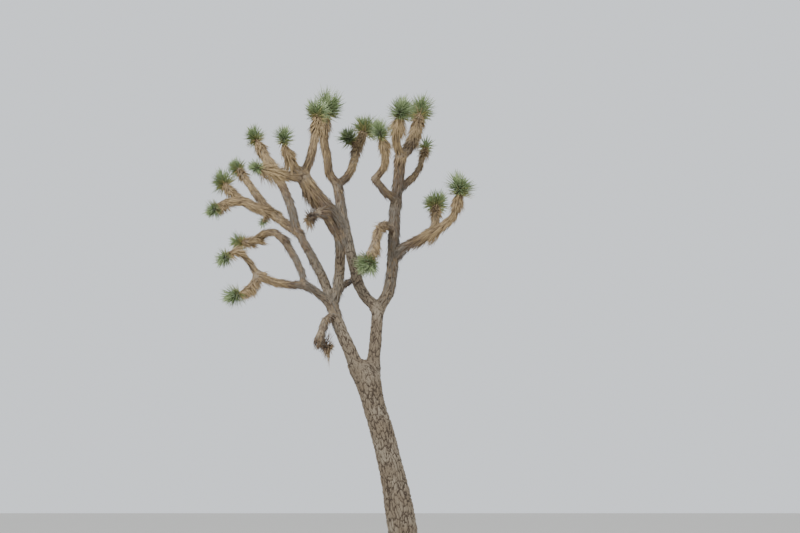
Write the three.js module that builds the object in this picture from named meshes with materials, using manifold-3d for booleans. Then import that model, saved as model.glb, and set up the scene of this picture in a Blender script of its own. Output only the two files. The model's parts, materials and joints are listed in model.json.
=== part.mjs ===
// Joshua tree: a leaning trunk that forks into two stems, boughs that fork again and again, and a
// ball of stiff leaves at the end of nearly every branch.
// Millimetres, +Z up. The origin is the middle of the flat cut at ground level.

import * as THREE from "three";
import { mergeVertices } from "three/addons/utils/BufferGeometryUtils.js";
import Module from "manifold-3d";

const wasm = await Module();
wasm.setup();

// The outline is told from one side: from a point this far in front of the foot, this far across
// from it and this far above the ground. A place is given as [x, z, depth], its two sizes in the
// upright plane through the foot and the depth that pushes it away along the line of sight.
const SIGHT_DISTANCE = 19000;
const SIGHT_ACROSS = -160;
const SIGHT_HEIGHT = 1500;

// Gap that neighbouring solids keep
const CLEARANCE = 0.35;

// Trunk: its height to the fork, its sides, its thickness and sideways lean at named heights,
// and how many sections stand between two of those
const TRUNK_HEIGHT = 3450;
const TRUNK_SIDES = 13;
const TRUNK_SECTIONS = [
  { height: 0, thick: 700, lean: 0 },
  { height: 120, thick: 600, lean: -5 },
  { height: 380, thick: 500, lean: -25 },
  { height: 900, thick: 440, lean: -85 },
  { height: 1450, thick: 432, lean: -165 },
  { height: 2050, thick: 370, lean: -285 },
  { height: 2650, thick: 360, lean: -440 },
  { height: 3100, thick: 345, lean: -580 },
  { height: TRUNK_HEIGHT, thick: 400, lean: -660 },
];
const SECTION_SPLITS = 2;
// Root flare: shallow lobes that die out with height
const FLARE_LOBES = 5;
const FLARE_DEPTH = 0.09;
const FLARE_HEIGHT = 420;

// Limbs: sides of a section, and the longest stretch between two sections
const LIMB_SIDES = 7;
const LIMB_STEP = 250;
const LEAST_STEPS = 2;
// Rounded end of a trunk or limb, as shares of its radius there
const SHOULDER_RISE = 0.5;
const SHOULDER_WIDTH = 0.78;
const CROWN_RISE = 0.75;

// Leaf heads: how wide a finely faceted one is, both finenesses, and how uneven they are
const LARGE_HEAD = 440;
const LARGE_DETAIL = 2;
const SMALL_DETAIL = 1;
const HEAD_LUMPS = 5;
const LUMP_HEIGHT = 0.075;
const LUMP_PITCH = 3.2;

// Vertices closer than this are one
const WELD = 0.001;

// Finishes
const BARK = { color: 0x6b5f52, roughness: 0.95, metalness: 0 };
const YOUNG_BARK = { color: 0x7a6a55, roughness: 0.95, metalness: 0 };
const DEAD_BARK = { color: 0x8a7c68, roughness: 1, metalness: 0 };
const LEAVES = { color: 0x6f7f5a, roughness: 0.6, metalness: 0 };
const DEAD_LEAVES = { color: 0x9a8461, roughness: 0.9, metalness: 0 };

// Balls of live leaves: middle, width and height seen from the front
const HEADS = [
  { name: "head_summit", at: [-1290, 7720, 450], size: [520, 660] },
  { name: "head_summit_front", at: [-1460, 7660, -850], size: [430, 500] },
  { name: "head_upper_left", at: [-2450, 7250, 800], size: [380, 430] },
  { name: "head_upper_left_front", at: [-2010, 7240, -1400], size: [400, 400] },
  { name: "head_upper_middle", at: [-990, 7240, 1050], size: [390, 410] },
  { name: "head_upper_middle_back", at: [-690, 7400, 1450], size: [490, 490] },
  { name: "head_loop", at: [-470, 7330, -1000], size: [400, 430] },
  { name: "head_upper_right_front", at: [-120, 7690, -500], size: [530, 520] },
  { name: "head_upper_right_back", at: [160, 7680, 600], size: [530, 530] },
  { name: "head_right_small", at: [240, 7110, 700], size: [360, 360] },
  { name: "head_arm_inner", at: [380, 6190, 150], size: [460, 420] },
  { name: "head_arm_outer", at: [780, 6450, -650], size: [560, 450] },
  { name: "head_left_back", at: [-2720, 6760, 1600], size: [330, 370] },
  { name: "head_left_high", at: [-2940, 6530, 1000], size: [420, 440] },
  { name: "head_left_drooping", at: [-3080, 6080, 700], size: [300, 380] },
  { name: "head_left_front", at: [-2430, 6750, -1550], size: [300, 340] },
  { name: "head_left_middle", at: [-2650, 5560, 300], size: [360, 360] },
  { name: "head_left_low", at: [-2890, 5310, -1300], size: [350, 350] },
  { name: "head_left_lowest", at: [-2700, 4720, -1150], size: [430, 410] },
  { name: "head_inner_drooping", at: [-680, 5210, -650], size: [450, 440] },
  { name: "head_inner_back", at: [-770, 5190, 1300], size: [400, 400] },
];

// Bunches of dead leaves that hang from a limb's end
const DEAD_HEADS = [
  { name: "tuft_dead_middle", at: [-1560, 5930, -930], size: [220, 500] },
];

// Heads and dead bunches that sit straight on the side of a limb, with no stem of their own
const SEATED_HEADS = [
  { name: "head_left_under", at: [-2290, 5880, 860], size: [250, 230] },
  { name: "tuft_dead_low", at: [-1275, 3930, -380], size: [220, 560] },
];

// Limbs, each after the one that carries it. It starts where "share" of its carrier's length is
// reached, or at a place of its own inside the trunk, runs through its places, and ends at the
// last of them or inside the head that it carries. Thick is its thickness at its two ends.
const LIMBS = [
  {
    name: "stem_left",
    from: [-640, 3230, 0],
    through: [[-825, 3600, -10], [-920, 3850, -40], [-1075, 4180, -90], [-1200, 4560, -150]],
    thick: [235, 188],
  },
  {
    name: "stem_right",
    from: [-600, 3230, 20],
    through: [[-575, 3600, 60], [-545, 3880, 100], [-520, 4220, 170], [-500, 4520, 250]],
    thick: [215, 188],
  },
  {
    name: "bough_left_low",
    on: "stem_left",
    share: 0.97,
    through: [[-1400, 4740, -290], [-1650, 4885, -480]],
    thick: [150, 132],
  },
  {
    name: "bough_left_low_outer",
    on: "bough_left_low",
    through: [[-1860, 4880, -620], [-2130, 4935, -820], [-2350, 5020, -950]],
    thick: [130, 142],
  },
  {
    name: "branch_left_low",
    on: "bough_left_low_outer",
    through: [[-2450, 5170, -1030], [-2560, 5340, -1120], [-2680, 5410, -1200]],
    into: "head_left_low",
    thick: [128, 90],
  },
  {
    name: "branch_left_lowest",
    on: "bough_left_low_outer",
    through: [[-2450, 4845, -1040]],
    into: "head_left_lowest",
    thick: [158, 110],
  },
  {
    name: "bough_left_arch",
    on: "bough_left_low",
    through: [[-1690, 5110, -440], [-1820, 5350, -370], [-1985, 5620, -260]],
    thick: [115, 130],
  },
  {
    name: "branch_left_middle",
    on: "bough_left_arch",
    through: [[-2130, 5715, -130], [-2300, 5690, 20], [-2420, 5560, 150]],
    into: "head_left_middle",
    thick: [125, 130],
  },
  {
    name: "bough_left_long",
    on: "stem_left",
    through: [[-1340, 4960, -40], [-1500, 5270, 110], [-1770, 5750, 420]],
    thick: [165, 150],
  },
  {
    name: "bough_upper_left",
    on: "bough_left_long",
    through: [[-1850, 6070, 480], [-1970, 6390, 560], [-2215, 6790, 680]],
    into: "head_upper_left",
    thick: [150, 172],
  },
  {
    name: "bough_left_back",
    on: "bough_left_long",
    share: 0.98,
    through: [[-2030, 5910, 680], [-2280, 6150, 990], [-2560, 6530, 1400]],
    into: "head_left_back",
    thick: [175, 125],
  },
  {
    name: "bough_left_spread",
    on: "bough_left_back",
    share: 0.34,
    through: [[-2460, 6120, 860], [-2730, 6250, 840], [-2890, 6180, 780]],
    into: "head_left_drooping",
    thick: [205, 152],
  },
  {
    name: "branch_left_high",
    on: "bough_left_spread",
    share: 0.5,
    through: [[-2830, 6380, 910]],
    into: "head_left_high",
    thick: [135, 125],
  },
  {
    name: "bough_centre",
    on: "stem_left",
    through: [[-1110, 4920, -210], [-1090, 5250, -300], [-1085, 5600, -450]],
    thick: [175, 165],
  },
  {
    name: "branch_dead_middle",
    on: "bough_centre",
    through: [[-1230, 5810, -640], [-1400, 6060, -830]],
    into: "tuft_dead_middle",
    thick: [150, 140],
  },
  {
    name: "bough_centre_upper",
    on: "bough_centre",
    through: [[-1130, 5880, -500], [-1295, 6125, -640], [-1490, 6310, -800], [-1695, 6620, -1000]],
    thick: [180, 258],
  },
  {
    name: "branch_summit_front",
    on: "bough_centre_upper",
    through: [[-1600, 6750, -1010], [-1565, 7000, -980], [-1500, 7230, -930]],
    into: "head_summit_front",
    thick: [150, 145],
  },
  {
    name: "branch_upper_left_front",
    on: "bough_centre_upper",
    through: [[-1800, 6730, -1090], [-1910, 6920, -1250]],
    into: "head_upper_left_front",
    thick: [165, 158],
  },
  {
    name: "branch_left_front",
    on: "bough_centre_upper",
    through: [[-1960, 6620, -1190], [-2170, 6680, -1380]],
    into: "head_left_front",
    thick: [190, 140],
  },
  {
    name: "bough_centre_back",
    on: "stem_right",
    through: [
      [-740, 4740, 350], [-860, 5120, 460], [-990, 5640, 610], [-1090, 6160, 730], [-1140, 6470, 800],
    ],
    thick: [180, 180],
  },
  {
    name: "branch_summit",
    on: "bough_centre_back",
    through: [[-1280, 6680, 740], [-1310, 6930, 650], [-1370, 7260, 540]],
    into: "head_summit",
    thick: [155, 165],
  },
  {
    name: "branch_upper_middle",
    on: "bough_centre_back",
    through: [[-960, 6640, 920], [-885, 6860, 1070], [-850, 7070, 1200]],
    into: "head_upper_middle_back",
    thick: [155, 150],
  },
  {
    name: "branch_inner_back",
    on: "bough_centre",
    share: 0.14,
    through: [[-1020, 4890, 250], [-900, 4960, 720]],
    into: "head_inner_back",
    thick: [120, 105],
  },
  {
    name: "bough_right",
    on: "stem_right",
    through: [
      [-385, 4640, 235], [-290, 5020, 150], [-265, 5500, 60],
      [-245, 6010, -20], [-190, 6500, -70], [-150, 6930, -100],
    ],
    thick: [195, 195],
  },
  {
    name: "branch_inner_drooping",
    on: "bough_right",
    share: 0.53,
    through: [[-450, 5850, -180], [-520, 5700, -340], [-550, 5530, -470]],
    into: "head_inner_drooping",
    thick: [135, 140],
  },
  {
    name: "arm_right",
    on: "bough_right",
    share: 0.35,
    through: [[-30, 5530, -60], [150, 5605, -160], [320, 5700, -260]],
    thick: [150, 172],
  },
  {
    name: "arm_right_outer",
    on: "arm_right",
    through: [[490, 5800, -370], [670, 5960, -480], [735, 6150, -570]],
    into: "head_arm_outer",
    thick: [178, 110],
  },
  {
    name: "branch_arm_inner",
    on: "arm_right",
    through: [[395, 5880, -120]],
    into: "head_arm_inner",
    thick: [140, 120],
  },
  {
    name: "branch_loop_low",
    on: "bough_right",
    share: 0.72,
    through: [[-440, 6400, -330], [-545, 6560, -470]],
    thick: [148, 148],
  },
  {
    name: "branch_loop_high",
    on: "branch_loop_low",
    through: [[-450, 6700, -580], [-365, 6870, -720], [-390, 7040, -850]],
    into: "head_loop",
    thick: [148, 138],
  },
  {
    name: "branch_upper_right_front",
    on: "bough_right",
    through: [[-215, 7120, -230], [-220, 7310, -350]],
    into: "head_upper_right_front",
    thick: [155, 158],
  },
  {
    name: "branch_upper_right_back",
    on: "bough_right",
    through: [[-30, 7060, 90], [70, 7250, 300]],
    into: "head_upper_right_back",
    thick: [165, 185],
  },
  {
    name: "branch_right_small",
    on: "bough_right",
    share: 0.78,
    through: [[0, 6550, 150], [125, 6710, 330], [200, 6930, 560]],
    into: "head_right_small",
    thick: [150, 90],
  },
  {
    name: "branch_dead_low",
    on: "stem_left",
    share: 0.93,
    through: [[-1300, 4420, -220], [-1335, 4270, -310], [-1390, 4070, -350]],
    thick: [105, 140],
  },
];

/** A place in space from its sizes in the foot's plane and its depth along the line of sight. */
function place([x, z, depth]) {
  const spread = (SIGHT_DISTANCE + depth) / SIGHT_DISTANCE;
  return new THREE.Vector3(
    SIGHT_ACROSS + (x - SIGHT_ACROSS) * spread,
    depth,
    SIGHT_HEIGHT + (z - SIGHT_HEIGHT) * spread,
  );
}

/** A repeatable source of numbers from 0 to 1. */
function chance(seed) {
  let state = seed;
  return () => {
    state = (state + 0x6d2b79f5) | 0;
    let mixed = Math.imul(state ^ (state >>> 15), 1 | state);
    mixed = (mixed + Math.imul(mixed ^ (mixed >>> 7), 61 | mixed)) ^ mixed;
    return ((mixed ^ (mixed >>> 14)) >>> 0) / 2 ** 32;
  };
}

/** A closed solid from a geometry, with shared corners merged and empty faces left out. */
function solidOf(geometry) {
  geometry.deleteAttribute("normal");
  geometry.deleteAttribute("uv");
  const merged = mergeVertices(geometry, WELD);
  const corners = merged.index.array;
  const faces = [];
  for (let i = 0; i < corners.length; i += 3) {
    const [a, b, c] = [corners[i], corners[i + 1], corners[i + 2]];
    if (a !== b && b !== c && c !== a) {
      faces.push(a, b, c);
    }
  }
  return new wasm.Manifold(new wasm.Mesh({
    numProp: 3,
    vertProperties: new Float32Array(merged.attributes.position.array),
    triVerts: new Uint32Array(faces),
  }));
}

/** The rounded upper end of a turned profile: shoulder, then the point on the axis. */
function roundedEnd(profile, radius, height) {
  profile.push(new THREE.Vector2(radius * SHOULDER_WIDTH, height + radius * SHOULDER_RISE));
  profile.push(new THREE.Vector2(0, height + radius * CROWN_RISE));
}

/** A smooth line up the trunk through one of its sizes at the named heights. */
function trunkLine(sizeOf) {
  const named = TRUNK_SECTIONS.map((section) => new THREE.Vector2(sizeOf(section), section.height));
  return new THREE.SplineCurve(named).getPoints(SECTION_SPLITS * (named.length - 1));
}

/** The trunk: a turned taper, lobed at its foot, with every section kept level as it leans. */
function trunkSolid(grow) {
  const side = trunkLine(({ thick }) => thick / 2 + grow);
  const middle = trunkLine(({ lean }) => lean);
  const profile = [new THREE.Vector2(0, 0), ...side];
  roundedEnd(profile, side.at(-1).x, TRUNK_HEIGHT);
  const geometry = new THREE.LatheGeometry(profile, TRUNK_SIDES);
  geometry.rotateX(Math.PI / 2);
  const position = geometry.attributes.position;
  for (let i = 0; i < position.count; i += 1) {
    const [x, y, z] = [position.getX(i), position.getY(i), position.getZ(i)];
    const fade = Math.max(0, 1 - z / FLARE_HEIGHT);
    const lobe = 1 + FLARE_DEPTH * fade * Math.cos(FLARE_LOBES * Math.atan2(y, x));
    const section = THREE.MathUtils.clamp((i % profile.length) - 1, 0, middle.length - 1);
    position.setXYZ(i, x * lobe + middle[section].x, y * lobe, z);
  }
  return solidOf(geometry);
}

/** A limb: a turned taper with a rounded end, bent along its curve. */
function limbSolid(curve, thick, grow) {
  const length = curve.getLength();
  const steps = Math.max(LEAST_STEPS, Math.round(length / LIMB_STEP));
  const frames = curve.computeFrenetFrames(steps, false);
  const profile = [new THREE.Vector2(0, -grow)];
  for (let i = 0; i <= steps; i += 1) {
    const radius = THREE.MathUtils.lerp(thick[0], thick[1], i / steps) / 2 + grow;
    profile.push(new THREE.Vector2(radius, i === 0 ? -grow : (i / steps) * length));
  }
  roundedEnd(profile, profile.at(-1).x, length);
  const geometry = new THREE.LatheGeometry(profile, LIMB_SIDES);
  const position = geometry.attributes.position;
  for (let i = 0; i < position.count; i += 1) {
    const [x, y, z] = [position.getX(i), position.getY(i), position.getZ(i)];
    const row = THREE.MathUtils.clamp((i % profile.length) - 1, 0, steps);
    const beyond = y - THREE.MathUtils.clamp(y, 0, length);
    const bent = curve.getPointAt(row / steps);
    bent.addScaledVector(frames.tangents[row], beyond);
    bent.addScaledVector(frames.normals[row], x);
    bent.addScaledVector(frames.binormals[row], -z);
    position.setXYZ(i, bent.x, bent.y, bent.z);
  }
  return solidOf(geometry);
}

/** A leaf head: a ball made uneven by a few seeded ripples, then brought to its stated size. */
function headSolid(head, seed, grow) {
  const next = chance(seed);
  const ripples = Array.from({ length: HEAD_LUMPS }, () => ({
    towards: new THREE.Vector3(next() - 0.5, next() - 0.5, next() - 0.5).normalize(),
    shift: next() * 2 * Math.PI,
  }));
  const detail = Math.max(...head.size) < LARGE_HEAD ? SMALL_DETAIL : LARGE_DETAIL;
  const geometry = new THREE.IcosahedronGeometry(1, detail);
  const position = geometry.attributes.position;
  const direction = new THREE.Vector3();
  for (let i = 0; i < position.count; i += 1) {
    direction.fromBufferAttribute(position, i).normalize();
    let reach = 1;
    for (const { towards, shift } of ripples) {
      reach += LUMP_HEIGHT * Math.sin(LUMP_PITCH * direction.dot(towards) + shift);
    }
    position.setXYZ(i, direction.x * reach, direction.y * reach, direction.z * reach);
  }
  const spread = (SIGHT_DISTANCE + head.at[2]) / SIGHT_DISTANCE;
  const [wide, high] = head.size.map((size) => size * spread);
  const wanted = new THREE.Vector3(wide, (wide + high) / 2, high).addScalar(2 * grow);
  geometry.center();
  const made = geometry.boundingBox.getSize(new THREE.Vector3());
  const { x, y, z } = wanted.divide(made);
  geometry.scale(x, y, z);
  const middle = place(head.at);
  geometry.translate(middle.x, middle.y, middle.z);
  return solidOf(geometry);
}

/** Whether the boxes round two solids meet. */
function boxesMeet(one, other) {
  const [a, b] = [one.boundingBox(), other.boundingBox()];
  return [0, 1, 2].every((axis) => a.min[axis] < b.max[axis] && b.min[axis] < a.max[axis]);
}

/** A solid cut clear of its neighbours, keeping its largest body. */
function cutClear(solid, neighbours) {
  let left = solid;
  for (const neighbour of neighbours) {
    if (boxesMeet(left, neighbour)) {
      left = left.subtract(neighbour);
    }
  }
  const bodies = left.decompose();
  return bodies.reduce((most, body) => (body.volume() > most.volume() ? body : most));
}

/** The named mesh of a solid, placed at its own foot. */
function meshOf(name, solid, foot, finish) {
  const { vertProperties, triVerts } = solid.getMesh();
  const geometry = new THREE.BufferGeometry();
  geometry.setAttribute("position", new THREE.BufferAttribute(vertProperties, 3));
  geometry.setIndex(new THREE.BufferAttribute(triVerts, 1));
  geometry.translate(-foot.x, -foot.y, -foot.z);
  geometry.computeVertexNormals();
  const mesh = new THREE.Mesh(geometry, new THREE.MeshStandardMaterial(finish));
  mesh.name = name;
  mesh.position.copy(foot);
  return mesh;
}

/** The finish of a limb: bark on stems and boughs, younger bark on branches, pale on dead ones. */
function limbFinish(name) {
  if (name.includes("dead")) {
    return DEAD_BARK;
  }
  return name.startsWith("branch") ? YOUNG_BARK : BARK;
}

/** The finish of a leaf head: live, or dead where it is a hanging bunch. */
function headFinish(name) {
  return name.startsWith("tuft") ? DEAD_LEAVES : LEAVES;
}

const tree = new THREE.Group();
const wood = new THREE.Group();
const crown = new THREE.Group();
tree.add(wood, crown);

// Every solid's grown copy, which later neighbours are cut by
const grownHeads = new Map();
const grownWood = new Map();
const curves = new Map();

const carriedHeads = [...HEADS, ...DEAD_HEADS];
const headPlaces = new Map(carriedHeads.map((head) => [head.name, place(head.at)]));
carriedHeads.forEach((head, index) => {
  const before = [...grownHeads.values()];
  const solid = cutClear(headSolid(head, index + 1, 0), before);
  grownHeads.set(head.name, headSolid(head, index + 1, CLEARANCE));
  crown.add(meshOf(head.name, solid, headPlaces.get(head.name), headFinish(head.name)));
});

wood.add(meshOf("trunk", trunkSolid(0), new THREE.Vector3(), BARK));
grownWood.set("trunk", trunkSolid(CLEARANCE));

for (const limb of LIMBS) {
  const start = limb.from ? place(limb.from) : curves.get(limb.on).getPointAt(limb.share ?? 1);
  const stops = limb.through.map(place);
  if (limb.into) {
    stops.push(headPlaces.get(limb.into));
  }
  const curve = new THREE.CatmullRomCurve3([start, ...stops], false, "centripetal");
  curves.set(limb.name, curve);
  const neighbours = [...grownHeads.values(), ...grownWood.values()];
  const solid = cutClear(limbSolid(curve, limb.thick, 0), neighbours);
  grownWood.set(limb.name, limbSolid(curve, limb.thick, CLEARANCE));
  wood.add(meshOf(limb.name, solid, start, limbFinish(limb.name)));
}

SEATED_HEADS.forEach((head, index) => {
  const seed = carriedHeads.length + index + 1;
  const neighbours = [...grownHeads.values(), ...grownWood.values()];
  const solid = cutClear(headSolid(head, seed, 0), neighbours);
  crown.add(meshOf(head.name, solid, place(head.at), headFinish(head.name)));
});

export default tree;
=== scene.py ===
"""The looks of a joshua tree: furrowed bark, coats of dead leaves and balls of stiff leaves.

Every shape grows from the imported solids. Cuts through them give each limb's middle line and
thickness. Leafy shoots branch off inside the heads by a seeded rule, one bark skin is drawn over
all limbs, and the leaves stand on the shoots and on the skin. Sizes are in metres.
"""

from __future__ import annotations

import json
import logging
import math
from collections.abc import Iterable
from dataclasses import dataclass, field
from enum import Enum
from functools import cache

import bmesh
import bpy
import numpy as np
from bpy.types import Material, Mesh, Node, NodeSocket, Object
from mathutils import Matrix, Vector
from mathutils.bvhtree import BVHTree

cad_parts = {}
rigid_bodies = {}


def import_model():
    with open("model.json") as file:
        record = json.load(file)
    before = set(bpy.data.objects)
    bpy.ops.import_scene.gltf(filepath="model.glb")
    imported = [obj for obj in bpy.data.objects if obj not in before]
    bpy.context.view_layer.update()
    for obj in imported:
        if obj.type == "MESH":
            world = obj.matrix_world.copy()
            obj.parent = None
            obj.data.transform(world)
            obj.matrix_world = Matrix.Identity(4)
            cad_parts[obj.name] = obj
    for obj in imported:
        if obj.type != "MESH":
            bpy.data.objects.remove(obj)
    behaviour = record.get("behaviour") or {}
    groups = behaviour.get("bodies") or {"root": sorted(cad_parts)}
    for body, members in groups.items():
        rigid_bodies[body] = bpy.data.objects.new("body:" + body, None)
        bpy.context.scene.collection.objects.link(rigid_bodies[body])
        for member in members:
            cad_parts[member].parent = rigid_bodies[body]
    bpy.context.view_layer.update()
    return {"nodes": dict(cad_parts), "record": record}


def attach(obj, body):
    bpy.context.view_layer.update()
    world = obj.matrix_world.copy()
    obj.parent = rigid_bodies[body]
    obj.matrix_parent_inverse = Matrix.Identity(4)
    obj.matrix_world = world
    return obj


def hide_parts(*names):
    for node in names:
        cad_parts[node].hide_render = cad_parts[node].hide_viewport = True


LOG = logging.getLogger("joshua_tree")
BODY = "root"
UP = np.array([0.0, 0.0, 1.0])
LEVEL = np.array([1.0, 0.0, 0.0])
FAR = 9.0
LOWEST = (-100.0, -100.0, 0.0)
FULL_TURN = 2.0 * math.pi
GOLDEN_TURN = math.pi * (3.0 - math.sqrt(5.0))
SPOT_SEED = 7
COAT_SEED = 31
HEAD_SEED = 100

Array = np.ndarray
Span = tuple[float, float]
Triple = tuple[float, float, float]
Colour = Triple


def linear(code: int) -> Colour:
    """The linear colour of a 0xRRGGBB display colour, by the sRGB curve."""
    parts = ((code >> shift & 255) / 255 for shift in (16, 8, 0))
    return tuple(((c + 0.055) / 1.055) ** 2.4 if c > 0.04045 else c / 12.92 for c in parts)


def unit(vectors: Array) -> Array:
    """One vector, or rows of them, brought to length one."""
    length = np.linalg.norm(vectors, axis=-1, keepdims=True)
    return vectors / np.maximum(length, 1e-9)


def smooth_step(low: float, high: float, value: Array) -> Array:
    """A share that goes smoothly from 0 at low to 1 at high, which may lie below low."""
    share = np.clip((value - low) / (high - low), 0.0, 1.0)
    return share * share * (3.0 - 2.0 * share)


def read_all(items: object, key: str, kind: type, width: int = 1) -> Array:
    """Reads a value of each item of a mesh.

    Args:
        items: The mesh's vertices, faces or other items.
        key: The value's name.
        kind: Its kind of number.
        width: How many numbers it has.

    Returns:
        The numbers, in rows where a value has several.
    """
    values = np.empty(len(items) * width, dtype=kind)
    items.foreach_get(key, values)
    return values.reshape(-1, width) if width > 1 else values


def write_all(items: object, key: str, values: Array, kind: type = np.float32) -> None:
    """Writes a value of each item of a mesh."""
    items.foreach_set(key, values.astype(kind).ravel())


def put_values(mesh: Mesh, name: str, values: Array) -> None:
    """Stores a number, or a row of three, on each vertex of a mesh."""
    kind, key = ("FLOAT", "value") if values.ndim == 1 else ("FLOAT_VECTOR", "vector")
    write_all(mesh.attributes.new(name, kind, "POINT").data, key, values)


def put_places(mesh: Mesh, places: Array) -> None:
    """Moves a mesh's vertices to the given rows."""
    write_all(mesh.vertices, "co", places)
    mesh.update()


def triangles(mesh: Mesh) -> tuple[Array, Array]:
    """The triangles of a mesh.

    Args:
        mesh: The mesh.

    Returns:
        The three vertices of each, and the places of its corners.
    """
    mesh.calc_loop_triangles()
    order = read_all(mesh.loop_triangles, "vertices", np.int32, 3)
    return order, read_all(mesh.vertices, "co", float, 3)[order]


def areas_of(corners: Array) -> Array:
    """The areas of triangles."""
    sides = corners[:, 1:] - corners[:, :1]
    return np.linalg.norm(np.cross(sides[:, 0], sides[:, 1]), axis=1) / 2.0


def spots_in(corners: Array, rng: np.random.Generator) -> Array:
    """A random point in each triangle."""
    shares = rng.dirichlet((1.0, 1.0, 1.0), len(corners))
    return (corners * shares[..., None]).sum(axis=1)


def surface_spots(corners: Array, count: int) -> Array:
    """That many points, spread evenly over a solid with these triangles."""
    rng, areas = np.random.default_rng(SPOT_SEED), areas_of(corners)
    return spots_in(corners[rng.choice(len(corners), count, p=areas / areas.sum())], rng)


def shown(name: str, data: bpy.types.ID) -> Object:
    """Puts a mesh, a light or a camera in the scene.

    Args:
        name: The object's name.
        data: What it shows.

    Returns:
        The new object, at the origin.
    """
    made = bpy.data.objects.new(name, data)
    bpy.context.scene.collection.objects.link(made)
    return made


def modified(mesh: Mesh, kind: str, settings: dict, inputs: dict | None = None) -> Mesh:
    """Applies a modifier to a mesh.

    Args:
        mesh: The mesh that goes in.
        kind: The modifier's type name.
        settings: Its properties.
        inputs: The inputs of its node tree, by identifier.

    Returns:
        The plain mesh that comes out.
    """
    carrier = shown(kind, mesh)
    modifier = carrier.modifiers.new(kind, kind)
    for name, value in settings.items():
        setattr(modifier, name, value)
    for identifier, value in (inputs or {}).items():
        modifier[identifier] = value
    graph = bpy.context.evaluated_depsgraph_get()
    shape = carrier.evaluated_get(graph)
    result = bpy.data.meshes.new_from_object(shape, preserve_all_data_layers=True, depsgraph=graph)
    bpy.data.objects.remove(carrier)
    return result


class Slot(Enum):
    """The record's material slots."""

    BARK = "bark"
    YOUNG_BARK = "young_bark"
    DEAD_BARK = "dead_bark"
    LEAVES = "leaves"
    DEAD_LEAVES = "dead_leaves"


WOOD = (Slot.BARK, Slot.YOUNG_BARK, Slot.DEAD_BARK)


class Graph:
    """A short way of adding and joining nodes in a node tree."""

    def __init__(self, tree: bpy.types.NodeTree) -> None:
        """Keeps the tree that the nodes go into."""
        self.tree = tree

    def put(self, socket: NodeSocket, value: object) -> None:
        """Sets an input.

        Args:
            socket: The input.
            value: Its value, or the output that it is linked to.
        """
        if isinstance(value, NodeSocket):
            self.tree.links.new(value, socket)
        else:
            socket.default_value = value

    def feed(self, node: Node, **inputs: object) -> None:
        """Sets a node's inputs, by name with _ for a space."""
        for name, value in inputs.items():
            self.put(node.inputs[name.replace("_", " ")], value)

    def add(self, kind: str, settings: dict | None = None, **inputs: object) -> Node:
        """Adds a node.

        Args:
            kind: The node's type name.
            settings: Its properties.
            **inputs: Its inputs, as feed takes them.

        Returns:
            The new node.
        """
        node = self.tree.nodes.new(kind)
        for name, value in (settings or {}).items():
            setattr(node, name, value)
        self.feed(node, **inputs)
        return node

    def maths(self, operation: str, *values: object, kind: str = "ShaderNodeMath") -> NodeSocket:
        """Works something out.

        Args:
            operation: What is worked out.
            *values: Its numbers, vectors or outputs.
            kind: The node's type name.

        Returns:
            The output with the result.
        """
        node = self.add(kind, {"operation": operation})
        for socket, value in zip(node.inputs, values, strict=False):
            self.put(socket, value)
        return node.outputs[0]

    def vectors(self, operation: str, *values: object) -> NodeSocket:
        """Works something out with vectors."""
        return self.maths(operation, *values, kind="ShaderNodeVectorMath")

    def scaled(self, vector: object, factor: object) -> NodeSocket:
        """A vector times a number."""
        settings = {"operation": "SCALE"}
        return self.add("ShaderNodeVectorMath", settings, Vector=vector, Scale=factor).outputs[0]

    def combined(self, x: object, y: object, z: object) -> NodeSocket:
        """A vector of three numbers."""
        return self.add("ShaderNodeCombineXYZ", X=x, Y=y, Z=z).outputs[0]

    def ramp(self, value: object, low: float, high: float) -> NodeSocket:
        """A smooth rise from 0 at low to 1 at high, or a fall where high is the lower one.

        Args:
            value: The number that is ramped.
            low: Where the rise starts.
            high: Where it ends.

        Returns:
            The output with the share.
        """
        inputs = {"Value": value, "From Min": low, "From Max": high}
        kind, settings = "ShaderNodeMapRange", {"interpolation_type": "SMOOTHSTEP"}
        return self.add(kind, settings, **inputs).outputs[0]

    def noise(self, place: object, scale: float, detail: float, output: str = "Fac") -> NodeSocket:
        """A noise texture's value or colour."""
        node = self.add("ShaderNodeTexNoise", Vector=place, Scale=scale, Detail=detail)
        return node.outputs[output]

    def mixed(self, share: object, one: object, other: object) -> NodeSocket:
        """Mixes two colours.

        Args:
            share: How much of the other colour there is.
            one: A colour or an output.
            other: Another one.

        Returns:
            The output with the mix.
        """
        node = self.add("ShaderNodeMix", {"data_type": "RGBA"}, Factor=share)
        # Its inputs 6 and 7 and its output 2 are the ones for colours.
        for socket, value in zip(node.inputs[6:8], (one, other), strict=True):
            self.put(socket, (*value, 1.0) if isinstance(value, tuple) else value)
        return node.outputs[2]


class Coating(Graph):
    """The nodes of a new material, with its shader and the place on the object."""

    def __init__(self, name: str) -> None:
        """Makes the material.

        Args:
            name: Its name.
        """
        self.made = bpy.data.materials.new(name)
        self.made.use_nodes = True
        super().__init__(self.made.node_tree)
        self.shader = self.tree.nodes["Principled BSDF"]
        self.place = self.add("ShaderNodeTexCoord").outputs["Object"]


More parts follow.
